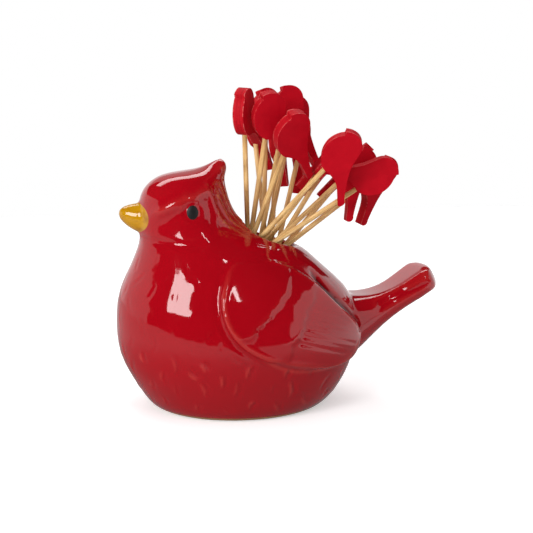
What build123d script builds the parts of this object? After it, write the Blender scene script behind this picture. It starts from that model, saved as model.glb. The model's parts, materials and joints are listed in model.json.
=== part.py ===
"""Songbird toothpick holder.

A hollow, slip-cast and glazed bird with a round hole in its back, and the loose
picks that stand in it: each a pointed bamboo stick with a flat wooden bird on top.

Millimetres. The origin is the middle of the foot, on the table. +Z is up, the
bird faces -X and its tail points to +X.
"""

from build123d import *
from math import cos, hypot, radians, sin, sqrt
import os

# ---------------------------------------------------------------- the casting
wall = 4.5  # thickness of the cast wall
floor = 3.2  # thickness of the bottom
foot_rim = 4.5  # width of the ring that the bird stands on
foot_recess = 0.8  # depth of the hollow inside that ring

# Level sections through the body, from the foot to the crown. Each is an ellipse:
# (front x, front z), (rear x, rear z), half width.
body_sections = [
    ((-33.0, 0.0), (29.5, 0.0), 28.0),
    ((-36.6, 2.4), (33.4, 2.4), 30.8),
    ((-40.6, 8.2), (38.2, 8.2), 33.3),
    ((-45.7, 17.5), (42.5, 17.5), 35.5),
    ((-48.2, 31.5), (44.5, 32.5), 36.0),
    ((-47.0, 43.5), (40.3, 43.5), 33.5),
    ((-42.8, 53.5), (30.0, 53.5), 29.0),
    ((-39.9, 60.5), (20.5, 61.0), 24.5),
    ((-39.0, 64.5), (9.0, 65.5), 21.0),
    ((-39.3, 69.5), (-0.2, 70.3), 19.0),
    ((-39.0, 77.5), (-4.8, 76.5), 18.0),
    ((-37.0, 82.9), (-6.4, 81.6), 16.0),
    ((-31.5, 87.4), (-6.9, 85.4), 12.0),
    ((-22.0, 89.5), (-6.5, 88.1), 7.5),
    ((-13.6, 91.4), (-6.0, 90.5), 4.0),
]
crest_tip = (-7.4, 93.5)  # (x, z) of the point of the crest
cavity_sections = 11  # how many of them, from the second, the hollow follows

cutter_reach = 70.0  # further than any cut has to go from the bird's middle

# ------------------------------------------------------------------ the wings
wing_stand = 1.3  # how far a wing stands out of the side of the body
wing_tip_stand = 4.0  # and out of its rear end, where the tips come free
covert_step = 0.6  # how far each row of short feathers stands out of the next
wing_top = 64.5  # height at which the wings have sunk into the shoulders
wing_fade = 20.0  # height over which they sink
wing_sunk = 0.1  # share of their stand that is left from there up
wing_inside = 6.0  # how far a wing's root lies from the middle plane
# Outline of a wing, seen from the side: (x, z), from the shoulder down the leading
# edge, back along the underside to the tip, and up the trailing edge.
wing_outline = [
    (-10.0, 56.5),
    (-13.9, 45.5),
    (-12.0, 36.1),
    (-4.3, 27.1),
    (10.0, 21.1),
    (28.0, 18.5),
    (40.5, 21.9),
    (42.0, 29.0),
    (33.2, 39.3),
    (24.4, 47.9),
    (9.0, 57.5),
]
# Where the feathers of each covert row meet, from the lowest to the highest.
covert_rows = [
    [(9.0, 24.0), (10.6, 29.6), (14.2, 33.9), (15.2, 38.0), (16.7, 41.2), (21.0, 46.4), (21.5, 53.5)],
    [(-5.0, 32.5), (-2.2, 37.2), (0.9, 39.1), (3.9, 42.3), (7.7, 46.1), (11.1, 50.8), (11.6, 58.5)],
]
feather_bulge = 1.1  # how far a feather's tip swells past the line between its corners

# ------------------------------------------------------------------- the tail
tail_rise = 27.0  # degrees
# Sections square to the tail: (x, z) of the middle, half width, half thickness.
tail_sections = [
    ((34.0, 28.5), 19.0, 13.0),
    ((45.0, 32.2), 14.0, 9.4),
    ((54.0, 35.5), 11.4, 5.8),
    ((63.5, 40.6), 11.2, 4.5),
    ((78.4, 48.6), 12.4, 3.7),
]
tail_corner = 0.95  # corner radius of those sections, as a share of their half thickness
tail_feathers = 5
tail_end = 2.0  # how far the longest feather tip stops short of the last section
tail_end_round = 5.0  # how much shorter the outer feathers are
tail_feather_bulge = 1.0

# ------------------------------------------------------------------- the face
# Upright sections of the beak: x, z of the middle, half width, half height.
beak_sections = [
    (-33.0, 71.4, 6.9, 6.3),
    (-37.5, 71.8, 6.1, 5.9),
    (-41.5, 72.6, 4.8, 4.8),
    (-44.6, 73.3, 3.1, 3.2),
    (-46.1, 73.7, 1.8, 1.8),
]
beak_tip = (-46.7, 74.0)
eye_place = (-21.5, 75.5)  # (x, z)
eye_radius = 4.5
eye_stand = 0.9  # how far an eye stands out of the head

# ------------------------------------------------------------------- the hole
hole_x = 10.0
hole_z = 65.1
hole_tilt = 25.0  # degrees that its axis leans to the tail
hole_clearance = 0.3  # least room between the rim and a stick
hole_cutter = 13.5  # how far the cutter for it reaches, each way from the rim
lip_round = 1.2  # how far the rim is rounded over

# ------------------------------------------------------------------ the picks
stick_diameter = 2.0
stick_length = 110.0
stick_taper = 12.0  # length of the sharpened end
stick_tip_diameter = 0.4
tip_gap = 0.5  # between a stick's point and the inside of the belly
topper_thickness = 4.2
socket_depth = 8.0
socket_lead = 1.0  # how far outside the topper the cutter for its socket starts
socket_clearance = 0.05

neck_depth = 9.0  # how far below the rim the bunch is tightest
bunch_height = 41.0  # from that neck up to the level where the toppers spread
topper_pitch = 1.19 * topper_thickness  # the unit of the places at that level
neck_pitch = 0.654 * stick_diameter  # and of the same places, turned, in the neck
# Each pick's place in the bunch, to the tail and to the bird's left, in pitches,
# and the turn of its topper in degrees: at 0 the little bird looks to the head.
pick_places = [
    (-5.2, -1.0, 57),
    (-3.6, -1.6, 8),
    (-2.1, -2.7, 18),
    (1.0, -4.0, 0),
    (4.45, -2.95, 182),
    (5.6, 0.6, 20),
    (4.35, 2.6, 80),
    (3.4, -1.2, 0),
    (1.5, -1.05, 85),
    (-1.85, 0.7, 0),
    (-0.9, 2.15, 3),
    (1.0, 5.2, 60),
    (2.65, 2.55, 80),
    (-3.0, 5.0, 60),
    (-1.0, 5.1, 60),
    (-2.5, 3.05, 20),
]

# Outline of a topper: across it, the little bird's tail on the right, and up from
# the end of the stick.
topper_breast = [(0.0, -0.1), (-2.8, 1.2), (-5.3, 4.6), (-6.1, 8.2), (-5.4, 11.8), (-3.4, 14.8)]
topper_beak = (-3.9, 16.2)
topper_crown = [
    (-3.1, 16.7),
    (-1.4, 17.4),
    (1.6, 17.4),
    (4.1, 15.7),
    (5.5, 12.0),
    (6.4, 7.6),
    (8.6, 2.6),
    (13.1, -4.2),
]
topper_tail_end = (13.9, -6.4)
topper_belly = [(12.7, -7.4), (8.0, -2.6), (5.2, -0.7), (2.6, -0.1), (0.0, -0.1)]


def section_plane(front, rear):
    """The plane of a section, square to the side view, with x from front to rear."""
    along_x = rear[0] - front[0]
    along_z = rear[1] - front[1]
    middle = ((front[0] + rear[0]) / 2, 0, (front[1] + rear[1]) / 2)
    return Plane(middle, x_dir=(along_x, 0, along_z), z_dir=(-along_z, 0, along_x))


def section_sketch(section, longer=0.0, wider=0.0):
    """One section of the body, its ellipse longer and wider by so much each way."""
    front, rear, half_width = section
    half_length = hypot(rear[0] - front[0], rear[1] - front[1]) / 2
    with BuildSketch(section_plane(front, rear)) as sketch:
        Ellipse(half_length + longer, half_width + wider)
    return sketch.sketch


def body_loft(longer=0.0, wider=0.0):
    """The body's outer form, grown by so much, though less towards the shoulders."""
    faces = []
    for section in body_sections:
        fade = min(1.0, max(wing_sunk, (wing_top - section[1][1]) / wing_fade))
        faces.append(section_sketch(section, longer * fade, wider * fade).faces()[0])
    with BuildPart() as form:
        loft(faces + [Vertex(crest_tip[0], 0, crest_tip[1])])
    return form.part


def hole_plane(height=0.0):
    """The plane across the hole's axis, so far out along it from the rim."""
    tilt = radians(hole_tilt)
    axis = Vector(sin(tilt), 0, cos(tilt))
    return Plane(Vector(hole_x, 0, hole_z) + axis * height, x_dir=(cos(tilt), 0, -sin(tilt)), z_dir=axis)


def feather_edge(corners, bulge):
    """A row of rounded feather tips between corners, swelling to their right."""
    for start, end in zip(corners, corners[1:]):
        across = Vector(*end) - Vector(*start)
        swell = Vector(across.Y, -across.X).normalized() * bulge
        middle = (Vector(*start) + Vector(*end)) / 2 + swell
        ThreePointArc(start, (middle.X, middle.Y), end)


# ------------------------------------------------------------------- the picks
spread = topper_pitch / neck_pitch
twist = sqrt(spread**2 - 1)


def pick_line(along, across):
    """A pick's point in the neck of the bunch, and its direction up the stick."""
    neck = hole_plane(-neck_depth)
    scale = neck_pitch / spread
    low = neck.from_local_coords(((along + twist * across) * scale, (across - twist * along) * scale, 0))
    high = neck.from_local_coords((along * topper_pitch, across * topper_pitch, bunch_height))
    return low, (high - low).normalized()


def reach_at_rim(along, across):
    """How far a stick's axis is from the hole's axis where it comes out."""
    low, direction = pick_line(along, across)
    axis = hole_plane().z_dir
    point = low + direction * ((neck_depth + lip_round) / direction.dot(axis)) - Vector(hole_x, 0, hole_z)
    return (point - axis * point.dot(axis)).length


widest_reach = max(reach_at_rim(along, across) for along, across, turn in pick_places)
hole_radius = widest_reach + stick_diameter / 2 + hole_clearance

# ---------------------------------------------------------------- the casting
body_form = body_loft()

with BuildPart() as cavity:
    sections = body_sections[1 : cavity_sections + 1]
    loft([section_sketch(section, -wall, -wall).faces()[0] for section in sections])
    split(bisect_by=Plane.XY.offset(floor), keep=Keep.TOP)


def wing_layer(stand, corners=None):
    """Both wings, standing out so far; with corners, only what is in front of that row."""
    with BuildPart() as layer:
        with BuildSketch(Plane.XZ.offset(wing_inside)):
            with BuildLine():
                Spline(*wing_outline, periodic=True)
            make_face()
            if corners:
                with BuildLine():
                    feather_edge(corners, feather_bulge)
                    in_front = [(-cutter_reach, corners[-1][1]), (-cutter_reach, corners[0][1])]
                    Polyline(corners[-1], *in_front, corners[0])
                make_face(mode=Mode.INTERSECT)
        extrude(amount=cutter_reach)
        mirror(about=Plane.XZ)
        add(body_loft(wing_tip_stand + stand - wing_stand, stand), mode=Mode.INTERSECT)
    return layer.part


tail_plane = Plane(
    (tail_sections[-1][0][0], 0, tail_sections[-1][0][1]),
    x_dir=(cos(radians(tail_rise)), 0, sin(radians(tail_rise))),
    z_dir=(-sin(radians(tail_rise)), 0, cos(radians(tail_rise))),
)
with BuildPart() as tail:
    for (x, z), half_width, half_thickness in tail_sections:
        with BuildSketch(Plane((x, 0, z), x_dir=(0, 1, 0), z_dir=tail_plane.x_dir)):
            RectangleRounded(2 * half_width, 2 * half_thickness, tail_corner * half_thickness)
    loft()
    with BuildSketch(tail_plane):
        end_width = tail_sections[-1][1] + tail_feather_bulge
        corners = []
        for i in range(tail_feathers + 1):
            y = (2 * i / tail_feathers - 1) * end_width
            corners.append((-tail_end - tail_feather_bulge - tail_end_round * (y / end_width) ** 2, y))
        with BuildLine():
            feather_edge(corners, tail_feather_bulge)
            Polyline(corners[-1], (-cutter_reach, 2 * end_width), (-cutter_reach, -2 * end_width), corners[0])
        make_face()
    extrude(amount=cutter_reach, both=True, mode=Mode.INTERSECT)

with BuildPart() as beak:
    for x, z, half_width, half_height in beak_sections:
        with BuildSketch(Plane((x, 0, z), x_dir=(0, 1, 0), z_dir=(-1, 0, 0))):
            Ellipse(half_width, half_height)
    loft(beak.pending_faces + [Vertex(beak_tip[0], 0, beak_tip[1])])

eye_line = Axis((eye_place[0], 0, eye_place[1]), (0, 1, 0))
eye_side = max(hit.Y for face in body_form.faces() for hit, normal in face.find_intersection_points(eye_line))

with BuildPart() as body:
    add(body_form)
    add(wing_layer(wing_stand))
    for row, corners in enumerate(covert_rows, 1):
        add(wing_layer(wing_stand + row * covert_step, corners))
    add(tail.part)
    add(beak.part)
    eye_out = eye_side - eye_radius + eye_stand
    with Locations((eye_place[0], -eye_out, eye_place[1]), (eye_place[0], eye_out, eye_place[1])):
        Sphere(eye_radius)
    add(cavity.part, mode=Mode.SUBTRACT)
    with BuildSketch(hole_plane()):
        Circle(hole_radius)
    extrude(amount=hole_cutter, both=True, mode=Mode.SUBTRACT)
    rim = body.edges(Select.NEW).group_by(Axis((hole_x, 0, hole_z), hole_plane().z_dir))[-1]
    fillet(rim, lip_round)
    add(section_sketch(body_sections[0], -foot_rim, -foot_rim))
    extrude(amount=foot_recess, mode=Mode.SUBTRACT)

os.makedirs("parts", exist_ok=True)
body.part.label = "bird_body"
export_step(body.part, "parts/bird_body.step")

# ------------------------------------------------------------------- the picks
for number, (along, across, turn) in enumerate(pick_places, 1):
    low, direction = pick_line(along, across)
    line = Axis(low, -direction)
    hits = [hit for face in cavity.part.faces() for hit, normal in face.find_intersection_points(line)]
    depth = min(distance for distance in ((low - hit).dot(direction) for hit in hits) if distance > 0)
    tip = low - direction * (depth - tip_gap)
    sideways = Vector(0, 1, 0).cross(direction).normalized()
    sideways = sideways.rotate(Axis((0, 0, 0), direction), turn)
    stick_plane = Plane(tip, x_dir=sideways, z_dir=sideways.cross(direction))
    stick_end = tip + direction * (stick_length - socket_depth)
    topper_plane = Plane(stick_end, x_dir=sideways, z_dir=stick_plane.z_dir)

    with BuildPart() as stick:
        with BuildSketch(stick_plane):
            Polygon(
                (0, 0),
                (stick_tip_diameter / 2, 0),
                (stick_diameter / 2, stick_taper),
                (stick_diameter / 2, stick_length),
                (0, stick_length),
                align=None,
            )
        revolve(axis=Axis(tip, direction))

    with BuildPart() as topper:
        with BuildSketch(topper_plane):
            with BuildLine():
                Spline(*topper_breast)
                Polyline(topper_breast[-1], topper_beak, topper_crown[0])
                Spline(*topper_crown)
                ThreePointArc(topper_crown[-1], topper_tail_end, topper_belly[0])
                Spline(*topper_belly)
            make_face()
        extrude(amount=topper_thickness / 2, both=True)
        with BuildSketch(Plane(topper_plane.origin - direction * socket_lead, z_dir=direction)):
            Circle(stick_diameter / 2 + socket_clearance)
        extrude(amount=socket_lead + socket_depth, mode=Mode.SUBTRACT)

    for piece, name in ((stick, "stick"), (topper, "topper")):
        piece.part.label = f"pick_{number:02}_{name}"
        export_step(piece.part, f"parts/{piece.part.label}.step")
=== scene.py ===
"""A glazed songbird that holds bamboo picks with little red birds on top.

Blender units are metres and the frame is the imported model's. Sizes in this script are
millimetres until MM turns them into metres. The bird faces -X and stands on Z = 0.
"""

import json
import math
import random

import bmesh
import bpy
import numpy as np
from mathutils import Matrix, Vector, noise

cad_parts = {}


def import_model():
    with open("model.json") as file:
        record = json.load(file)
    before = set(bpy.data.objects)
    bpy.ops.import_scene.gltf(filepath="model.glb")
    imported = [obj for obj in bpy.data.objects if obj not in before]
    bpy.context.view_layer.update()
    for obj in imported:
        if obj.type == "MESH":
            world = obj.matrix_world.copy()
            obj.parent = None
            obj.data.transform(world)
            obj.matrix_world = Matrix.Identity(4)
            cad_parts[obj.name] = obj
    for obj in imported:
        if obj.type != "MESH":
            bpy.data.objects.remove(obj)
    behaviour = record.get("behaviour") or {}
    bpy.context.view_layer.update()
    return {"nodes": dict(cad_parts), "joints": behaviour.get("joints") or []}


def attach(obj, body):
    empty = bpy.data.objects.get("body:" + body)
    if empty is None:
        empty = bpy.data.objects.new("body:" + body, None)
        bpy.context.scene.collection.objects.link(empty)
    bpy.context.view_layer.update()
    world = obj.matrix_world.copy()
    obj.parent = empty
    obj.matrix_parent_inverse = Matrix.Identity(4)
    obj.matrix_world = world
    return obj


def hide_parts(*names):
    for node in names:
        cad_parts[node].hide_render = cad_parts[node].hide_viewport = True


MM = 0.001

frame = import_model()
nodes = frame["nodes"]
scene = bpy.context.scene
scene.view_settings.view_transform = "Standard"


# ------------------------------------------------------------------ the camera
CAMERA_TARGET = Vector((9.4, 0.0, 52.0))
CAMERA_AZIMUTH = -12.0
CAMERA_ELEVATION = 9.5
CAMERA_DISTANCE = 420.0
CAMERA_LENS = 73.8
SENSOR_WIDTH = 36.0
NEAREST_SEEN = 10.0


def aim(thing, target, azimuth, elevation, distance):
    """Puts a camera or a lamp so far from the target, and turns it to face it.

    Both angles are degrees. The azimuth turns from -Y, a side of the bird, towards +X, its tail.
    """
    turn, lift = math.radians(azimuth), math.radians(elevation)
    away = Vector((math.sin(turn) * math.cos(lift), -math.cos(turn) * math.cos(lift), math.sin(lift)))
    thing.location = (target + away * distance) * MM
    thing.rotation_mode = "QUATERNION"
    thing.rotation_quaternion = (-away).to_track_quat("-Z", "Y")


def add_camera():
    camera = bpy.data.objects.new("camera", bpy.data.cameras.new("camera"))
    scene.collection.objects.link(camera)
    aim(camera, CAMERA_TARGET, CAMERA_AZIMUTH, CAMERA_ELEVATION, CAMERA_DISTANCE)
    camera.data.lens = CAMERA_LENS
    camera.data.sensor_width = SENSOR_WIDTH
    camera.data.clip_start = NEAREST_SEEN * MM
    scene.camera = camera


# --------------------------------------------------- what every finish is made of
# The sockets of a Mix node that mixes colours.
MIX_FACTOR, MIX_A, MIX_B, MIX_RESULT = 0, 6, 7, 2


class Finish:
    """A material's node tree, with short calls to add and join nodes."""

    def __init__(self, name):
        self.material = bpy.data.materials.new(name)
        self.material.use_nodes = True
        self.tree = self.material.node_tree
        self.tree.nodes.clear()
        self.output = self.add("ShaderNodeOutputMaterial")

    def add(self, kind, **settings):
        node = self.tree.nodes.new(kind)
        for key, value in settings.items():
            setattr(node, key, value)
        return node

    def put(self, value, socket):
        """Sets a socket to a number or colour, or joins another node's socket to it."""
        if isinstance(value, bpy.types.NodeSocket):
            self.tree.links.new(value, socket)
        else:
            socket.default_value = value

    def math(self, operation, a, b=0.0, clamp=False):
        node = self.add("ShaderNodeMath", operation=operation, use_clamp=clamp)
        self.put(a, node.inputs[0])
        self.put(b, node.inputs[1])
        return node.outputs[0]

    def mix(self, factor, a, b):
        """A colour from a to b, by factor."""
        node = self.add("ShaderNodeMix", data_type="RGBA")
        self.put(factor, node.inputs[MIX_FACTOR])
        self.put(a, node.inputs[MIX_A])
        self.put(b, node.inputs[MIX_B])
        return node.outputs[MIX_RESULT]

    def ramp(self, value, low, high, to_low=0.0, to_high=1.0):
        """A smooth step from to_low, where the value is low, to to_high, where it is high."""
        node = self.add("ShaderNodeMapRange", interpolation_type="SMOOTHSTEP")
        self.put(value, node.inputs["Value"])
        self.put(low, node.inputs["From Min"])
        self.put(high, node.inputs["From Max"])
        self.put(to_low, node.inputs["To Min"])
        self.put(to_high, node.inputs["To Max"])
        return node.outputs[0]

    def noise(self, place, scale, detail=3.0, roughness=0.5, stretch=(1, 1, 1)):
        mapping = self.add("ShaderNodeMapping")
        mapping.inputs["Scale"].default_value = stretch
        self.put(place, mapping.inputs["Vector"])
        node = self.add("ShaderNodeTexNoise")
        node.inputs["Scale"].default_value = scale
        node.inputs["Detail"].default_value = detail
        node.inputs["Roughness"].default_value = roughness
        self.put(mapping.outputs[0], node.inputs["Vector"])
        return node.outputs["Fac"]

    def bump(self, height, strength, distance):
        node = self.add("ShaderNodeBump")
        node.inputs["Strength"].default_value = strength
        node.inputs["Distance"].default_value = distance * MM
        self.put(height, node.inputs["Height"])
        return node.outputs[0]

    def split(self, place):
        """The X, Y and Z of a place, by those names."""
        node = self.add("ShaderNodeSeparateXYZ")
        self.put(place, node.inputs[0])
        return node.outputs

    def join(self, **parts):
        """A vector of its X, Y and Z, where one that is left out is zero."""
        node = self.add("ShaderNodeCombineXYZ")
        for axis, value in parts.items():
            self.put(value, node.inputs[axis])
        return node.outputs[0]

    def length(self, vector):
        node = self.add("ShaderNodeVectorMath", operation="LENGTH")
        self.put(vector, node.inputs[0])
        return node.outputs["Value"]

    def attribute(self, name):
        return self.add("ShaderNodeAttribute", attribute_name=name).outputs["Fac"]

    def place(self):
        return self.add("ShaderNodeTexCoord").outputs["Object"]

    def uv(self):
        return self.add("ShaderNodeTexCoord").outputs["UV"]

    def show(self, shader):
        """Makes a shader's output what the material shows."""
        self.put(shader, self.output.inputs["Surface"])
        return self.material

    def surface(self, **values):
        """A Principled surface with these inputs, by name with _ for a space."""
        shader = self.add("ShaderNodeBsdfPrincipled")
        for key, value in values.items():
            self.put(value, shader.inputs[key.replace("_", " ")])
        return self.show(shader.outputs[0])


# --------------------------------------------------------------- the red glaze
# The eye and the beak's colour, seen from the side: the (x, z) of the middle and a radius.
EYE = (-21.5, 75.6)
EYE_RADIUS = 2.5
EYE_HEIGHT_TO_WIDTH = 1.22
BEAK = (-43.5, 72.5)
BEAK_RADIUS = 7.0
BEAK_WANDER = 0.6  # how far the edge of the beak's colour wanders

# How far outside its radius, or above the table, a colour starts to show and is full.
EYE_EDGE = (0.15, -0.05)
BEAK_EDGE = (0.45, 0.15)
FOOT_EDGE = (1.6, 1.1)

# Colours are linear: red, green, blue and alpha.
DEEP_RED = (0.315, 0.0008, 0.005, 1)
BRIGHT_RED = (0.385, 0.002, 0.008, 1)
# Thin glaze is paler; the same paler red also paints a highlight along the wing's rim.
THIN_GLAZE_AND_HIGHLIGHT_RED = (0.56, 0.05, 0.04, 1)
THIN_AND_HIGHLIGHT_SHARE = 0.4
NAPE_AMBER = (0.5, 0.14, 0.03, 1)
NAPE_SHARE = 0.6
# Painted shade, near black, for the groove along the wing's back edge.
CREVICE_SHADE_RED = (0.03, 0.0, 0.001, 1)
MUSTARD = (0.52, 0.25, 0.004, 1)
DARK_MUSTARD = (0.38, 0.15, 0.003, 1)
EYE_BLACK = (0.003, 0.003, 0.003, 1)
BARE_CLAY = (0.42, 0.2, 0.07, 1)
GLAZE_IOR = 1.52
DULLNESS = 0.5  # the roughness that the eyes and the bare foot have over the glaze's


def side_distance(finish, place, centre, widen=1.0, behind=False):
    """Millimetres from a point as seen from the side, with the width counted widen times.

    With behind, a place ahead of the point counts as if it were level with it.
    """
    split = finish.split(place)
    back = finish.math("SUBTRACT", split["X"], centre[0] * MM)
    if behind:
        back = finish.math("MAXIMUM", back, 0.0)
    up = finish.math("SUBTRACT", split["Z"], centre[1] * MM)
    across = finish.math("MULTIPLY", back, widen / MM)
    return finish.length(finish.join(X=across, Z=finish.math("DIVIDE", up, MM)))


def glaze():
    """Deep red glaze, paler where thin, with a painted highlight on the wing's rim, painted shade behind
    the wing, amber on the nape, and its beak and eyes.
    """
    finish = Finish("red_glaze")
    place = finish.place()
    cloud = finish.noise(place, scale=45, detail=2)
    fleck = finish.noise(place, scale=900, detail=2)
    streak = finish.noise(place, scale=160, detail=3, stretch=(0.5, 1, 2))
    ripple = finish.noise(place, scale=120, detail=2)

    red = finish.mix(cloud, DEEP_RED, BRIGHT_RED)
    # Paler where the glaze is thin, together with a painted highlight along the wing's rim.
    thin = finish.math("MULTIPLY", finish.attribute("pale_glaze"), THIN_AND_HIGHLIGHT_SHARE, clamp=True)
    red = finish.mix(thin, red, THIN_GLAZE_AND_HIGHLIGHT_RED)
    flecks = finish.ramp(fleck, low=0.35, high=0.7, to_high=NAPE_SHARE)
    worn = finish.math("MULTIPLY", finish.attribute("nape"), flecks)
    red = finish.mix(worn, red, NAPE_AMBER)
    # Painted shade: near black in the groove along the wing's back edge.
    red = finish.mix(finish.attribute("crevice_shade"), red, CREVICE_SHADE_RED)

    wander = finish.math("MULTIPLY", cloud, BEAK_WANDER)
    beak_gap = finish.math("ADD", side_distance(finish, place, BEAK, behind=True), wander)
    beak = finish.ramp(beak_gap, low=BEAK_RADIUS + BEAK_EDGE[0], high=BEAK_RADIUS + BEAK_EDGE[1])
    mustard = finish.mix(finish.ramp(streak, low=0.45, high=0.75), MUSTARD, DARK_MUSTARD)
    colour = finish.mix(beak, red, mustard)

    eye_gap = side_distance(finish, place, EYE, widen=EYE_HEIGHT_TO_WIDTH)
    eye = finish.ramp(eye_gap, low=EYE_RADIUS + EYE_EDGE[0], high=EYE_RADIUS + EYE_EDGE[1])
    colour = finish.mix(eye, colour, EYE_BLACK)

    foot = finish.ramp(finish.split(place)["Z"], low=FOOT_EDGE[0] * MM, high=FOOT_EDGE[1] * MM)
    colour = finish.mix(foot, colour, BARE_CLAY)

    rough = finish.ramp(cloud, low=0.2, high=0.8, to_low=0.035, to_high=0.07)
    for dull in (foot, eye):
        rough = finish.math("ADD", rough, finish.math("MULTIPLY", dull, DULLNESS))
    return finish.surface(
        Base_Color=colour,
        Roughness=rough,
        IOR=GLAZE_IOR,
        Normal=finish.bump(ripple, strength=0.06, distance=0.5),
    )


# ------------------------------------------------------ bamboo and stained wood
BAMBOO_BROWN = (0.66, 0.37, 0.12, 1)
BAMBOO_PALE = (0.92, 0.64, 0.30, 1)
BAMBOO_PATCH = (0.70, 0.40, 0.14, 1)
DARK_FIBRE = (0.30, 0.14, 0.05, 1)

STAIN_DEEP = (0.42, 0.001, 0.009, 1)
STAIN_BRIGHT = (0.55, 0.004, 0.014, 1)
STAIN_GRAIN = (0.33, 0.0, 0.006, 1)
STAIN_SIDE = (0.64, 0.018, 0.026, 1)
STAIN_LAYER = (0.26, 0.0, 0.005, 1)
# Pale rims: wear and a painted highlight together.
STAIN_WORN_AND_HIGHLIT = (0.76, 0.22, 0.2, 1)
SIDE_SHARE = 0.4
LAYER_SHARE = 0.5
WORN_AND_HIGHLIT_SHARE = 0.65
LAYERS = 16.0  # the steps of the layers' pattern from a topper's middle to its face
LAYER_WAVE = 1.5  # how much the grain bends the layers


def bamboo():
    """Split bamboo, with fibres along the stick, by the stick's own UV map."""
    finish = Finish("bamboo")
    uv = finish.uv()
    fibre = finish.noise(uv, scale=9, detail=4, roughness=0.6, stretch=(0.32, 0.008, 1))
    patch = finish.noise(finish.place(), scale=60, detail=2)
    dark = finish.noise(uv, scale=22, detail=2, stretch=(0.16, 0.003, 1))
    colour = finish.mix(finish.ramp(fibre, low=0.3, high=0.7), BAMBOO_BROWN, BAMBOO_PALE)
    colour = finish.mix(finish.ramp(patch, low=0.45, high=0.8), colour, BAMBOO_PATCH)
    colour = finish.mix(finish.ramp(dark, low=0.62, high=0.75, to_high=0.4), colour, DARK_FIBRE)
    return finish.surface(
        Base_Color=colour,
        Roughness=finish.ramp(fibre, low=0.2, high=0.8, to_low=0.6, to_high=0.48),
        Specular_IOR_Level=0.25,
        Normal=finish.bump(fibre, strength=0.5, distance=0.12),
    )


def red_stain():
    """Red stained wood: grain up the little bird, layers on its sides, and pale rims, worn and with a
    painted highlight.
    """
    finish = Finish("red_stain")
    place = finish.place()
    grain = finish.noise(finish.uv(), scale=2.4, detail=4, roughness=0.6, stretch=(1.0, 0.07, 1))
    mottle = finish.noise(place, scale=260, detail=3)
    rub = finish.noise(place, scale=700, detail=3, roughness=0.7)

    # Depth is 0 in the middle of the wood and 1 on both of its flat faces.
    depth = finish.math("ABSOLUTE", finish.attribute("depth"))
    rim_side = finish.ramp(depth, low=0.80, high=0.88)
    rim_face = finish.ramp(depth, low=0.995, high=0.95)
    rim = finish.math("MULTIPLY", rim_side, rim_face)
    side = finish.ramp(depth, low=0.9, high=0.8)
    across = finish.math("MULTIPLY", depth, LAYERS)
    wave = finish.math("MULTIPLY", grain, LAYER_WAVE)
    layer = finish.noise(finish.join(X=across, Y=wave), scale=1.0, detail=1)
    layer = finish.math("MULTIPLY", finish.ramp(layer, low=0.46, high=0.56), side)
    # The rims, paler where worn, which is also a painted highlight along them.
    worn_and_highlit = finish.math("MULTIPLY", rim, finish.ramp(rub, low=0.40, high=0.62), clamp=True)

    colour = finish.mix(mottle, STAIN_DEEP, STAIN_BRIGHT)
    colour = finish.mix(finish.ramp(grain, low=0.55, high=0.75, to_high=0.35), colour, STAIN_GRAIN)
    colour = finish.mix(finish.math("MULTIPLY", side, SIDE_SHARE), colour, STAIN_SIDE)
    colour = finish.mix(finish.math("MULTIPLY", layer, LAYER_SHARE), colour, STAIN_LAYER)
    colour = finish.mix(finish.math("MULTIPLY", worn_and_highlit, WORN_AND_HIGHLIT_SHARE), colour, STAIN_WORN_AND_HIGHLIT)
    height = finish.math("ADD", grain, finish.math("MULTIPLY", rub, 0.5))
    return finish.surface(
        Base_Color=colour,
        Roughness=finish.ramp(mottle, low=0.2, high=0.8, to_low=0.5, to_high=0.62),
        Specular_IOR_Level=0.06,
        Normal=finish.bump(height, strength=0.35, distance=0.12),
    )


# ----------------------------------------------------------- work on any piece
SAME_POINT = 0.001  # points this near each other are one


def mesh_object(shape, name, material):
    """An object of a finished bmesh, with its material."""
    mesh = bpy.data.meshes.new(name)
    shape.to_mesh(mesh)
    shape.free()
    mesh.materials.append(material)
    made = bpy.data.objects.new(name, mesh)
    scene.collection.objects.link(made)
    return made


def piece_from(shape, name, material, body, node):
    """Makes a finished bmesh the piece that stands for a CAD node."""
    piece = mesh_object(shape, name, material)
    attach(piece, body)
    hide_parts(node)
    return piece


def copy_of_node(name):
    """A bmesh of a CAD node's mesh, its loose triangles joined."""
    shape = bmesh.new()
    shape.from_mesh(nodes[name].data)
    bmesh.ops.remove_doubles(shape, verts=shape.verts, dist=SAME_POINT * MM)
    return shape


def apply_modifiers(piece):
    """Leaves the piece's modifiers in its mesh."""
    bpy.context.view_layer.update()
    shaped = piece.evaluated_get(bpy.context.evaluated_depsgraph_get())
    mesh = bpy.data.meshes.new_from_object(shaped)
    piece.modifiers.clear()
    piece.data = mesh


def points_and_normals(mesh):
    """The vertices' places, in millimetres, and their normals."""
    co = np.zeros(len(mesh.vertices) * 3)
    mesh.vertices.foreach_get("co", co)
    normal = np.zeros(len(mesh.vertices) * 3)
    mesh.vertex_normals.foreach_get("vector", normal)
    return co.reshape(-1, 3) / MM, normal.reshape(-1, 3)


def set_attribute(mesh, name, values):
    attribute = mesh.attributes.new(name, "FLOAT", "POINT")
    attribute.data.foreach_set("value", values.astype(np.float32))


def rising(value, start, full):
    """0 up to start and 1 from full on; with full below start, it falls instead."""
    return np.clip((value - start) / (full - start), 0, 1)


def swell(distance, middle, width):
    """A soft ridge: 1 in its middle, and falling away by its half width on both sides."""
    return np.exp(-(((distance - middle) / width) ** 2))


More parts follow.
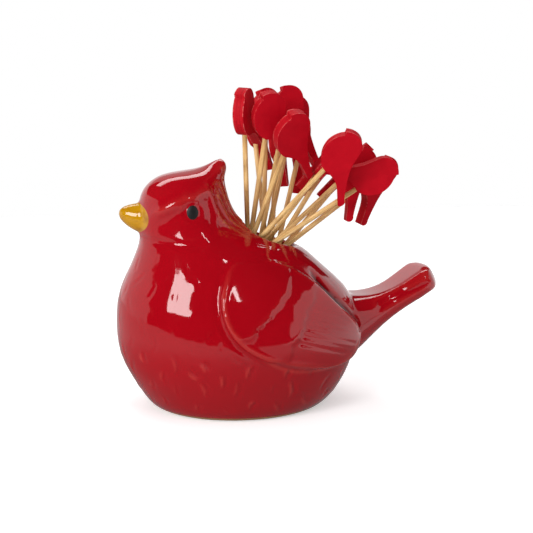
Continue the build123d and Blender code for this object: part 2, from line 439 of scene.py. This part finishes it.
def soften_where(mesh, co, share, rounds):
    """The points, each moved towards the middle of its neighbours by its share, round by round."""
    edges = np.zeros(len(mesh.edges) * 2, int)
    mesh.edges.foreach_get("vertices", edges)
    a, b = edges.reshape(-1, 2).T
    degree = np.bincount(np.concatenate([a, b]), minlength=len(co))[:, None]
    spread = co.copy()
    for _ in range(rounds):
        total = np.zeros_like(spread)
        for axis in range(3):
            total[:, axis] = np.bincount(a, spread[b, axis], len(co))
            total[:, axis] += np.bincount(b, spread[a, axis], len(co))
        spread += (total / degree - spread) * share[:, None]
    return spread


# ------------------------------------------------- the lines worked into the bird
LINE_ENDS = 0.125  # the share of a line over which each of its ends fades

# All lines are seen from the side, as (x, z) points.
WING_LINES = [
    [(12.0, 30.5), (24.0, 26.5), (36.0, 22.3)],
    [(14.5, 34.5), (27.0, 30.1), (40.0, 25.1)],
    [(15.5, 38.5), (27.0, 34.7), (40.5, 29.1)],
    [(17.0, 42.0), (27.0, 38.9), (37.0, 34.1)],
]
LINES_BETWEEN = [
    [((x + u) / 2, (z + w) / 2) for (x, z), (u, w) in zip(upper, lower)]
    for lower, upper in zip(WING_LINES, WING_LINES[1:])
]
WING_FRONT = [(-9.4, 56.0), (-12.9, 46.5), (-11.4, 37.0), (-4.0, 28.4), (10.0, 22.6), (26.0, 19.8)]
AHEAD_OF_WING = [(x - 2.3, z - 0.8) for x, z in WING_FRONT]
WING_RIM = [(0.0, 24.6), (7.0, 20.9), (14.8, 18.6), (26.5, 18.1), (37.1, 21.5), (41.8, 28.4)]
WING_CREVICE = [(21.5, 53.5), (26.0, 48.6), (31.0, 43.2), (36.3, 38.0), (41.0, 32.3), (42.0, 28.5)]
THROAT = [(-42.0, 66.0), (-36.0, 64.9), (-29.8, 64.3), (-23.0, 64.2), (-17.0, 64.8)]
TAIL_LINES = [
    [(50.0, 37.3), (56.0, 40.2), (63.0, 43.4)],
    [(49.0, 34.6), (60.0, 40.2), (72.0, 46.2)],
]
# Each line on the bird's sides, its half width, and its height, below zero for a groove.
SIDE_WORK = [
    *[(line, 0.7, -0.17) for line in WING_LINES],
    *[(line, 0.6, -0.11) for line in LINES_BETWEEN],
    (WING_FRONT, 0.8, 0.3),
    (AHEAD_OF_WING, 1.2, -0.3),
    (WING_RIM, 0.6, 0.12),
    (THROAT, 1.3, -0.5),
    (WING_CREVICE, 0.8, -1.5),
]
TAIL_WORK = [(line, 0.9, -0.5) for line in TAIL_LINES]
# A painted highlight along the wing's rim, and painted shade in the groove along the wing's back edge.
RIM_HIGHLIGHT_LINE = (WING_RIM, 0.6, 1.0)
CREVICE_SHADE_LINE = (WING_CREVICE, 0.55, 1.0)


def distance_to_line(flat, points):
    """Distance from each flat point to a run of straight lines, and the share along it."""
    nearest = np.full(len(flat), np.inf)
    share = np.zeros(len(flat))
    runs = len(points) - 1
    for i in range(runs):
        start, end = np.array(points[i]), np.array(points[i + 1])
        along = end - start
        t = np.clip((flat - start) @ along / (along @ along), 0, 1)
        gap = np.linalg.norm(flat - (start + t[:, None] * along), axis=1)
        closer = gap < nearest
        nearest[closer] = gap[closer]
        share[closer] = (i + t[closer]) / runs
    return nearest, share


def smooth_line(points, steps=5):
    """A finer line through the same points, rounded by a Catmull-Rom curve."""
    p = [np.array(q, float) for q in points]
    p = [2 * p[0] - p[1], *p, 2 * p[-1] - p[-2]]
    line = []
    for i in range(1, len(p) - 2):
        for k in range(steps):
            t = k / steps
            a = 2 * p[i]
            b = (p[i + 1] - p[i - 1]) * t
            c = (2 * p[i - 1] - 5 * p[i] + 4 * p[i + 1] - p[i + 2]) * t * t
            d = (3 * p[i] - p[i - 1] - 3 * p[i + 1] + p[i + 2]) * t**3
            line.append((a + b + c + d) / 2)
    line.append(p[-2])
    return line


def pressed(flat, points, width, height):
    """The height that a soft line along the points adds, fading at its two ends."""
    gap, share = distance_to_line(flat, smooth_line(points))
    return height * swell(gap, 0.0, width) * rising(np.minimum(share, 1 - share), 0.0, LINE_ENDS)


# -------------------------------------------------------- brow, eyelids and nape
# The brow's edge, over which the head steps in above the eye.
BROW_EDGE = [
    (-38.0, 73.6),
    (-34.0, 75.6),
    (-31.0, 76.9),
    (-27.0, 79.0),
    (-24.0, 80.6),
    (-20.5, 81.2),
    (-18.0, 82.4),
    (-15.5, 82.8),
    (-13.0, 80.0),
]
# How far the head stands out, by how far below the brow's edge.
BROW_STEP = [(-5.0, 0.0), (-3.2, 0.05), (-0.3, 0.65), (0.4, 0.6), (3.4, -0.7), (5.0, -0.85), (15.0, 0.0)]
# The x where the brow starts and is full, from the beak and from the nape.
BROW_FRONT = (-36.0, -33.0)
BROW_BACK = (-12.5, -15.0)

# The lid and the groove inside it: height, then radius round the eye and half width.
LID = (0.3, 4.4, 0.9)
LID_GROOVE = (0.2, 3.0, 0.5)
LID_RISE = (-3.0, 2.0)  # the lid grows from below the eye's middle to above it
LID_LEAST = 0.25

# The nape lies between these x, and its ridges fade in and out over these heights.
NAPE_X = (-12.0, 4.0)
NAPE_RISE = (65.5, 70.5)
NAPE_FALL = (87.5, 81.5)
NAPE_FACING = -0.1  # its skin faces back, +X, or ahead by less than this
RIDGE_GAP = 3.1
RIDGE_HEIGHT = 0.25


def brow(co):
    """The step of the brow over the eye, from the beak to the nape."""
    edge = np.interp(co[:, 0], *zip(*BROW_EDGE))
    fade = rising(co[:, 0], *BROW_FRONT) * rising(co[:, 0], *BROW_BACK)
    return np.interp(edge - co[:, 2], *zip(*BROW_STEP)) * fade


def eyelids(co):
    """The lid round each eye, thickest above it, and the groove between the two."""
    gap = np.hypot(co[:, 0] - EYE[0], co[:, 2] - EYE[1])
    above = np.maximum(rising(co[:, 2] - EYE[1], *LID_RISE), LID_LEAST)
    lid_height, *lid = LID
    groove_depth, *groove = LID_GROOVE
    return lid_height * above * swell(gap, *lid) - groove_depth * swell(gap, *groove)


def nape_waves(co, normal):
    """The nape's ridges side by side: 1 on a ridge, -1 between two, and fading up and down."""
    on_nape = (co[:, 0] > NAPE_X[0]) & (co[:, 0] < NAPE_X[1]) & (normal[:, 0] > NAPE_FACING)
    wave = np.cos(co[:, 1] * math.tau / RIDGE_GAP)
    return on_nape * wave * rising(co[:, 2], *NAPE_RISE) * rising(co[:, 2], *NAPE_FALL)


# ----------------------------------------------------------- the feather strokes
STROKE_SEED = 11
STROKE_ROWS = 10
STROKES_IN_ROW = 20
LOWEST_ROW = 7.0
ROW_GAP = 5.6
ROWS_MIDDLE = -2.0  # the x round which the rows turn
ROWS_RADIUS = 40.0  # the radius at which lengths round the bird are true
DRIFT_ROUND = 2.0
DRIFT_UP = 1.6
STROKE_LENGTH = (3.5, 8.0)
STROKE_LEAN = 0.8
LEAN_ROUND = 0.10  # the lean that a stroke gains for each radian round the bird
STROKE_CURL = (0.25, 0.8)
STROKE_DEPTH = (0.08, 0.3)
BELLY_TOP = 24.0
BELLY_DEPTH = 1.3
BREAST_DEPTH = 0.45
STROKE_REACH = 14.0  # nothing further off than this is touched by a stroke
GROOVE_WIDTH = 0.75
LIP_HEIGHT = 0.55
LIP_MIDDLE = 1.5
LIP_WIDTH = 0.9
STROKES_TOP = (63.5, 57.5)  # the heights where strokes start, under the throat, and are full
STROKES_BACK = 40.0  # the x past which there are none
# The wing, seen from the side, where no strokes are.
WING_AREA = [
    (-15, 59.5),
    (-15, 45.5),
    (-13, 35.5),
    (-5, 26.0),
    (10, 20.0),
    (28, 17.5),
    (42, 21.0),
    (46, 29.5),
    (34, 41.5),
    (24, 51.5),
    (8, 63.5),
]


def inside_outline(flat, outline):
    """True for each flat point inside a closed outline, none of whose sides is level."""
    inside = np.zeros(len(flat), bool)
    for (x0, z0), (x1, z1) in zip(outline, outline[1:] + outline[:1]):
        crosses = (z0 > flat[:, 1]) != (z1 > flat[:, 1])
        at = x0 + (flat[:, 1] - z0) * (x1 - x0) / (z1 - z0)
        inside ^= crosses & (flat[:, 0] < at)
    return inside


def feather_strokes(co, normal):
    """Short crescent strokes over the breast, the belly and the flanks."""
    draw = random.Random(STROKE_SEED)
    turn = np.arctan2(co[:, 1], ROWS_MIDDLE - co[:, 0])
    unrolled = np.stack([turn * ROWS_RADIUS, co[:, 2]], axis=1)
    height = np.zeros(len(co))
    for row in range(STROKE_ROWS):
        for k in range(STROKES_IN_ROW):
            share = (k + 0.5 * (row % 2)) / STROKES_IN_ROW * 2 - 1
            s = share * math.pi * ROWS_RADIUS + draw.uniform(-DRIFT_ROUND, DRIFT_ROUND)
            z = LOWEST_ROW + row * ROW_GAP + draw.uniform(-DRIFT_UP, DRIFT_UP)
            length = draw.uniform(*STROKE_LENGTH)
            lean = LEAN_ROUND * s / ROWS_RADIUS + draw.uniform(-STROKE_LEAN, STROKE_LEAN)
            curl = draw.uniform(*STROKE_CURL) * draw.choice((-1, 1, 1 if s > 0 else -1))
            depth = draw.uniform(*STROKE_DEPTH) * (BELLY_DEPTH if z < BELLY_TOP else BREAST_DEPTH)
            near = np.abs(unrolled[:, 0] - s) + np.abs(unrolled[:, 1] - z) < STROKE_REACH
            d = unrolled[near] - (s, z)
            along = d[:, 0] * math.sin(lean) - d[:, 1] * math.cos(lean)
            across = d[:, 0] * math.cos(lean) + d[:, 1] * math.sin(lean) - curl * along**2 / length
            fade = np.clip(1 - (2 * along / length) ** 2, 0, 1)
            lip = LIP_HEIGHT * swell(across, LIP_MIDDLE, LIP_WIDTH)
            height[near] += depth * (lip - swell(across, 0.0, GROOVE_WIDTH)) * fade
    outside = co[:, 0] * normal[:, 0] + co[:, 1] * normal[:, 1] > 0
    on_wing = inside_outline(co[:, [0, 2]], WING_AREA)
    ahead_of_tail = co[:, 0] < STROKES_BACK
    return height * (outside & ~on_wing & ahead_of_tail) * rising(co[:, 2], *STROKES_TOP)


# -------------------------------------------------------------------- the bird
VOXEL = 0.72  # the size of the grid from which the skin is made
SMOOTHING = 6
HOLLOW_MIDDLE = (0.0, 0.0, 36.0)
FACING_HOLLOW = 0.4  # skin that faces the hollow's middle by more than this is its wall
FACES_KEPT = 0.76  # the share of all the skin's faces that is left
TAIL_END = (69.0, 73.0)  # the x where the tail's end starts to be softened, and is fully
TAIL_ROUNDS = 20
SIDE_SLOPE = (0.0, 0.35)  # how far sideways the skin faces where side work starts and is full
TAIL_SLOPE = (0.0, 0.3)
PLAIN_FOOT = (1.2, 3.2)
# How far skin stands out, where its glaze starts to thin and is thinnest.
THIN_OUT = (0.07, 0.47)
THIN_STROKE = (0.04, 0.16)
THIN_ROUNDS = 8


def thin_inside(piece):
    """Leaves fewer faces on the walls of the hollow, which are hardly seen."""
    co, normal = points_and_normals(piece.data)
    out = co - HOLLOW_MIDDLE
    inside = (out * normal).sum(1) < -FACING_HOLLOW * np.linalg.norm(out, axis=1)
    group = piece.vertex_groups.new(name="inside")
    group.add(np.flatnonzero(inside).tolist(), 1.0, "REPLACE")
    thin = piece.modifiers.new("thin", "DECIMATE")
    thin.ratio = FACES_KEPT
    thin.vertex_group = group.name
    apply_modifiers(piece)
    piece.vertex_groups.clear()


def plain_bird():
    """The bird's CAD form as one smooth skin, before its feathers."""
    shape = copy_of_node("bird_body")
    piece = piece_from(shape, "glazed_bird", glaze(), "bird", "bird_body")
    remesh = piece.modifiers.new("skin", "REMESH")
    remesh.mode = "VOXEL"
    remesh.voxel_size = VOXEL * MM
    soften = piece.modifiers.new("soften", "SMOOTH")
    soften.factor = 0.5
    soften.iterations = SMOOTHING
    apply_modifiers(piece)
    thin_inside(piece)
    return piece


def pale_glaze(mesh, co):
    """How far each point stands out of its neighbourhood, from 0 to 1, where glaze runs thin."""
    spread = soften_where(mesh, co, np.ones(len(co)), THIN_ROUNDS)
    normal = points_and_normals(mesh)[1]
    return rising(((co - spread) * normal).sum(1), *THIN_OUT)


def bird():
    """The songbird: a smooth skin, with its feathers and its face worked into it."""
    piece = plain_bird()
    mesh = piece.data
    co, normal = points_and_normals(mesh)
    co = soften_where(mesh, co, rising(co[:, 0], *TAIL_END), TAIL_ROUNDS)
    flat = co[:, [0, 2]]
    sideways = rising(normal[:, 1] * np.sign(co[:, 1]), *SIDE_SLOPE)
    tailways = rising(np.abs(normal[:, 1]), *TAIL_SLOPE)
    # A painted highlight along the wing's rim.
    rim = pressed(flat, *RIM_HIGHLIGHT_LINE) * sideways
    # Painted shade in the groove along the wing's back edge.
    crevice_shade = pressed(flat, *CREVICE_SHADE_LINE) * sideways
    strokes = feather_strokes(co, normal)
    waves = nape_waves(co, normal)

    height = (brow(co) + eyelids(co)) * sideways
    for line in SIDE_WORK:
        height += pressed(flat, *line) * sideways
    for line in TAIL_WORK:
        height += pressed(flat, *line) * tailways
    height += strokes + RIDGE_HEIGHT * waves
    height *= rising(co[:, 2], *PLAIN_FOOT)
    co += normal * height[:, None]
    mesh.vertices.foreach_set("co", (co * MM).ravel())
    mesh.update()

    # Pale where the glaze is thin and on the strokes' lips, and a painted highlight along the wing's
    # rim.
    thin = np.maximum.reduce([pale_glaze(mesh, co), rising(strokes, *THIN_STROKE), rim])
    set_attribute(mesh, "pale_glaze", thin)
    # Painted shade in the groove along the wing's back edge.
    set_attribute(mesh, "crevice_shade", crevice_shade)
    set_attribute(mesh, "nape", np.clip(waves, 0, 1))
    mesh.shade_smooth()
    return piece


# ------------------------------------------------------------------- the picks
PICK_SEED = 3
STICK_SIDES = 14
STICK_RINGS = 22
STICK_RADIUS = 1.0
STICK_TAPER = 12.0
POINT_SHARE = 0.2  # the point's radius, as a share of the stick's
STICK_SHARE = 0.97  # leaves room for what is uneven
UNEVEN_SHARE = 0.03
UNEVEN_LENGTH = 14.0
FLAT_SHARE = 0.05
FLAT_SHARPNESS = 6
PHASES = 10.0  # the range of the draw that makes each stick's fibres its own
FIBRE_TURN = 6.0  # the fibres' width round a stick, on the UV map
FIBRE_SHIFT = 7.0
SQUARE_END = 0.9  # faces that face along the stick by more than this are its ends
AT_THE_END = 0.01  # points this near a stick's end lie on it

TOPPER_ROUND = 0.38
TOPPER_SEGMENTS = 3
SAME_FACE = math.radians(1.0)
RIM_ANGLE = math.radians(60.0)


def name_of_node(joint, part):
    return f"{joint['child']}_{part}"


def pick_axis(joint):
    """The direction up a stick, and the middle of its point and of its top."""
    direction = Vector(joint["axis"]).normalized()
    corners = [v.co for v in nodes[name_of_node(joint, "stick")].data.vertices]
    along = [c.dot(direction) for c in corners]
    low, high = min(along), max(along)
    tips = [c for c, t in zip(corners, along) if t < low + AT_THE_END * MM]
    tops = [c for c, t in zip(corners, along) if t > high - AT_THE_END * MM]
    return direction, sum(tips, Vector()) / len(tips), sum(tops, Vector()) / len(tops)


def round_rod(length):
    """A straight rod of even rings, up from the origin."""
    shape = bmesh.new()
    bmesh.ops.create_circle(shape, cap_ends=True, segments=STICK_SIDES, radius=STICK_RADIUS * MM)
    for _ in range(STICK_RINGS):
        ends = [f for f in shape.faces if f.normal.z > SQUARE_END] or list(shape.faces)
        out = bmesh.ops.extrude_face_region(shape, geom=ends[:1])
        verts = [g for g in out["geom"] if isinstance(g, bmesh.types.BMVert)]
        bmesh.ops.translate(shape, verts=verts, vec=(0, 0, length / STICK_RINGS))
        shape.normal_update()
    return shape


def whittle(shape, phase, facet):
    """Points a rod and makes it a little uneven, with one flatter side that faces facet."""
    for v in shape.verts:
        turn = math.atan2(v.co.y, v.co.x)
        place = (math.cos(turn), math.sin(turn), v.co.z / MM / UNEVEN_LENGTH + phase)
        uneven = UNEVEN_SHARE * noise.noise(place)
        flat_side = -FLAT_SHARE * max(0.0, math.cos(turn - facet)) ** FLAT_SHARPNESS
        taper = min(1.0, POINT_SHARE + (1 - POINT_SHARE) * v.co.z / (STICK_TAPER * MM))
        scale = (STICK_SHARE + uneven + flat_side) * taper
        v.co.x *= scale
        v.co.y *= scale


def lay_fibres(shape, phase):
    """A UV map with the turn round the stick across it and the stick's length up it."""
    layer = shape.loops.layers.uv.new("UVMap")
    for face in shape.faces:
        middle = face.calc_center_median()
        about = math.atan2(middle.y, middle.x)
        for loop in face.loops:
            turn = math.atan2(loop.vert.co.y, loop.vert.co.x)
            if turn - about > math.pi:
                turn -= math.tau
            elif about - turn > math.pi:
                turn += math.tau
            up = loop.vert.co.z / MM + FIBRE_SHIFT * phase
            loop[layer].uv = (turn / math.tau * FIBRE_TURN + phase, up)


def stick(name, joint, material, draw):
    """A pointed bamboo stick, its rings a little uneven, with fibres along its length."""
    direction, tip, top = pick_axis(joint)
    shape = round_rod((top - tip).length)
    phase = draw.uniform(0, PHASES)
    facet = draw.uniform(0, math.tau)
    whittle(shape, phase, facet)
    lay_fibres(shape, phase)
    for face in shape.faces:
        face.smooth = abs(face.normal.z) < SQUARE_END
    bmesh.ops.recalc_face_normals(shape, faces=shape.faces)
    turn = direction.to_track_quat("Z", "Y").to_matrix().to_4x4()
    bmesh.ops.transform(shape, matrix=Matrix.Translation(tip) @ turn, verts=shape.verts)
    return piece_from(shape, name, material, joint["child"], name_of_node(joint, "stick"))


def round_rims(shape):
    """Rounds over the edges between a flat shape's faces and its sides."""
    rims = []
    for edge in shape.edges:
        if len(edge.link_faces) == 2 and edge.calc_face_angle(0) > RIM_ANGLE:
            rims.append(edge)
    bmesh.ops.bevel(
        shape,
        geom=rims,
        offset=TOPPER_ROUND * MM,
        segments=TOPPER_SEGMENTS,
        profile=0.5,
        affect="EDGES",
        material=-1,
        clamp_overlap=True,
    )
    shape.normal_update()


def lay_grain(shape, across, through, up, start):
    """How deep each point lies, from -1 to 1 through the wood, and a UV map with grain up it."""
    along = [v.co.dot(through) for v in shape.verts]
    middle = (min(along) + max(along)) / 2
    half = (max(along) - min(along)) / 2
    depth = shape.verts.layers.float.new("depth")
    for v, place in zip(shape.verts, along):
        v[depth] = (place - middle) / half
    layer = shape.loops.layers.uv.new("UVMap")
    for face in shape.faces:
        face.smooth = True
        for loop in face.loops:
            out = (loop.vert.co - start) / MM
            loop[layer].uv = (out.dot(across) + out.dot(through), out.dot(up))


def topper(name, joint, material):
    """A flat little bird, its rims rounded over, with grain that runs up from the stick."""
    node = name_of_node(joint, "topper")
    up, _, stick_top = pick_axis(joint)
    shape = copy_of_node(node)
    bmesh.ops.dissolve_limit(shape, angle_limit=SAME_FACE, verts=shape.verts, edges=shape.edges)
    through = max(shape.faces, key=lambda f: f.calc_area()).normal.copy()
    round_rims(shape)
    lay_grain(shape, up.cross(through), through, up, stick_top)
    piece = piece_from(shape, name, material, joint["child"], node)
    weight = piece.modifiers.new("flat_faces", "WEIGHTED_NORMAL")
    weight.keep_sharp = True
    return piece


def picks():
    wood = bamboo()
    stain = red_stain()
    draw = random.Random(PICK_SEED)
    for joint in frame["joints"]:
        number = joint["child"].split("_")[1]
        stick(f"bamboo_stick_{number}", joint, wood, draw)
        topper(f"red_topper_{number}", joint, stain)


# ------------------------------------------------------------ table and lights
WHITE = (1, 1, 1, 1)
TABLE_WHITE = (0.8, 0.8, 0.8, 1)
TABLE_LIFT = 0.46
AMBIENT = 0.45
ROOM_REFLECTION = 0.02
BIRD_MIDDLE = Vector((0.0, 0.0, 45.0))
LAMP_DISTANCE = 700.0

# The table and the white cards round the bird, which its glaze mirrors.
WALL = 620.0
TABLE_TOP = -0.05
JUST_ABOVE = -0.02
TABLE_FRONT = -300.0
TABLE_SEAM = 120.0
TABLE_FADE = (-295.0, -245.0)  # the y where the table's reflection starts and is full
TABLE_SHADE = (55.0, 170.0)  # from here to there, its reflection grows brighter
SHADE_NEAR = 0.75
SHADE_FAR = 1.8
TABLE_CARDS = {
    "table_left": (0.34, -WALL, TABLE_SEAM),
    "table_right": (0.7, TABLE_SEAM, WALL),
}
CARDS = {
    "back_card": (1.0, [(-WALL, WALL, 0), (WALL, WALL, 0), (WALL, WALL, 300), (-WALL, WALL, 340)]),
    "crown_card": (0.55, [(-300, WALL, 330), (90, WALL, 320), (90, WALL, 700), (-300, WALL, 700)]),
    "left_card": (0.8, [(-WALL, WALL, 0), (-WALL, WALL, 340), (-WALL, -70, 340), (-WALL, -70, 0)]),
    "right_card": (1.1, [
        (WALL, WALL, 0),
        (WALL, -955, 0),
        (WALL, -955, 150),
        (WALL, -620, 530),
        (WALL, -213, 640),
        (WALL, 316, 450),
        (WALL, WALL, 300),
    ]),
}


def level_corners(left, right, front, back, height):
    return [(left, front, height), (right, front, height), (right, back, height), (left, back, height)]


def sheet(name, corners, material):
    """A flat sheet of the studio; its corners are (x, y, z), in order."""
    shape = bmesh.new()
    shape.faces.new([shape.verts.new(Vector(corner) * MM) for corner in corners])
    made = mesh_object(shape, name, material)
    return made


def glow_for(finish, rays, strength):
    """A glow of this strength for the rays named, and none for the others."""
    path = finish.add("ShaderNodeLightPath")
    seen = path.outputs[rays[0]]
    for name in rays[1:]:
        seen = finish.math("MAXIMUM", seen, path.outputs[name])
    glow = finish.add("ShaderNodeEmission")
    finish.put(finish.math("MULTIPLY", seen, strength), glow.inputs["Strength"])
    return glow.outputs[0]


def table_material():
    """White table: its own shade and shadow, lifted to white for the eye."""
    finish = Finish("white_table")
    diffuse = finish.add("ShaderNodeBsdfDiffuse")
    finish.put(TABLE_WHITE, diffuse.inputs["Color"])
    both = finish.add("ShaderNodeAddShader")
    finish.put(diffuse.outputs[0], both.inputs[0])
    lift = glow_for(finish, ["Is Camera Ray", "Is Transmission Ray"], TABLE_LIFT)
    finish.put(lift, both.inputs[1])
    return finish.show(both.outputs[0])


def table_glow(finish, strength):
    """The table as the glaze mirrors it: dim near the bird, as painted shade of the bird, and fading out
    at its front edge.
    """
    place = finish.place()
    near, far = TABLE_SHADE
    glow = finish.ramp(
        finish.length(place),
        low=near * MM,
        high=far * MM,
        to_low=SHADE_NEAR * strength,
        to_high=SHADE_FAR * strength,
    )
    start, full = TABLE_FADE
    fade = finish.ramp(finish.split(place)["Y"], low=start * MM, high=full * MM)
    return finish.math("MULTIPLY", glow, fade)


def card(name, corners, strength, glow=None):
    """A card that shows in reflections alone; a glow makes its strength change over it."""
    finish = Finish(name)
    if glow:
        strength = glow(finish, strength)
    made = sheet(name, corners, finish.show(glow_for(finish, ["Is Glossy Ray"], strength)))
    made.visible_camera = False
    made.visible_diffuse = False
    made.visible_transmission = False
    made.visible_shadow = False
    return made


def area_light(name, azimuth, elevation, size, brightness):
    """A soft box that faces the bird: its width and height, and its brightness, where white is 1."""
    light = bpy.data.lights.new(name, "AREA")
    light.shape = "RECTANGLE"
    light.size, light.size_y = size[0] * MM, size[1] * MM
    light.energy = brightness * math.pi * light.size * light.size_y
    lamp = bpy.data.objects.new(name, light)
    scene.collection.objects.link(lamp)
    aim(lamp, BIRD_MIDDLE, azimuth, elevation, LAMP_DISTANCE)
    return lamp


def world():
    """White for the eye, a plain soft light for surfaces, and dim in reflections."""
    made = bpy.data.worlds.new("studio")
    scene.world = made
    made.use_nodes = True
    tree = made.node_tree
    tree.nodes.clear()
    path = tree.nodes.new("ShaderNodeLightPath")
    backgrounds = []
    for strength in (AMBIENT, ROOM_REFLECTION, 1.0):
        background = tree.nodes.new("ShaderNodeBackground")
        background.inputs["Color"].default_value = WHITE
        background.inputs["Strength"].default_value = strength
        backgrounds.append(background.outputs[0])
    mixed = backgrounds[0]
    for name, background in zip(("Is Glossy Ray", "Is Camera Ray"), backgrounds[1:]):
        mix = tree.nodes.new("ShaderNodeMixShader")
        tree.links.new(path.outputs[name], mix.inputs[0])
        tree.links.new(mixed, mix.inputs[1])
        tree.links.new(background, mix.inputs[2])
        mixed = mix.outputs[0]
    output = tree.nodes.new("ShaderNodeOutputWorld")
    tree.links.new(mixed, output.inputs["Surface"])


def stage():
    """The table, the cards round it and the lamps."""
    table = sheet("table", level_corners(-WALL, WALL, -WALL, WALL, TABLE_TOP), table_material())
    table.visible_glossy = False
    for name, (strength, left, right) in TABLE_CARDS.items():
        corners = level_corners(left, right, TABLE_FRONT, WALL, JUST_ABOVE)
        card(name, corners, strength, glow=table_glow)
    for name, (strength, corners) in CARDS.items():
        card(name, corners, strength)
    area_light("breast_window", azimuth=-50.0, elevation=21.5, size=(250, 320), brightness=11.0)
    area_light("shoulder_strip", azimuth=4.0, elevation=45.0, size=(32, 260), brightness=14.0)
    area_light("crown_strip", azimuth=176.0, elevation=57.0, size=(900, 170), brightness=5.0)
    overhead = area_light("overhead", azimuth=10.0, elevation=70.0, size=(500, 300), brightness=1.2)
    overhead.visible_glossy = False


add_camera()
world()
stage()
bird()
picks()
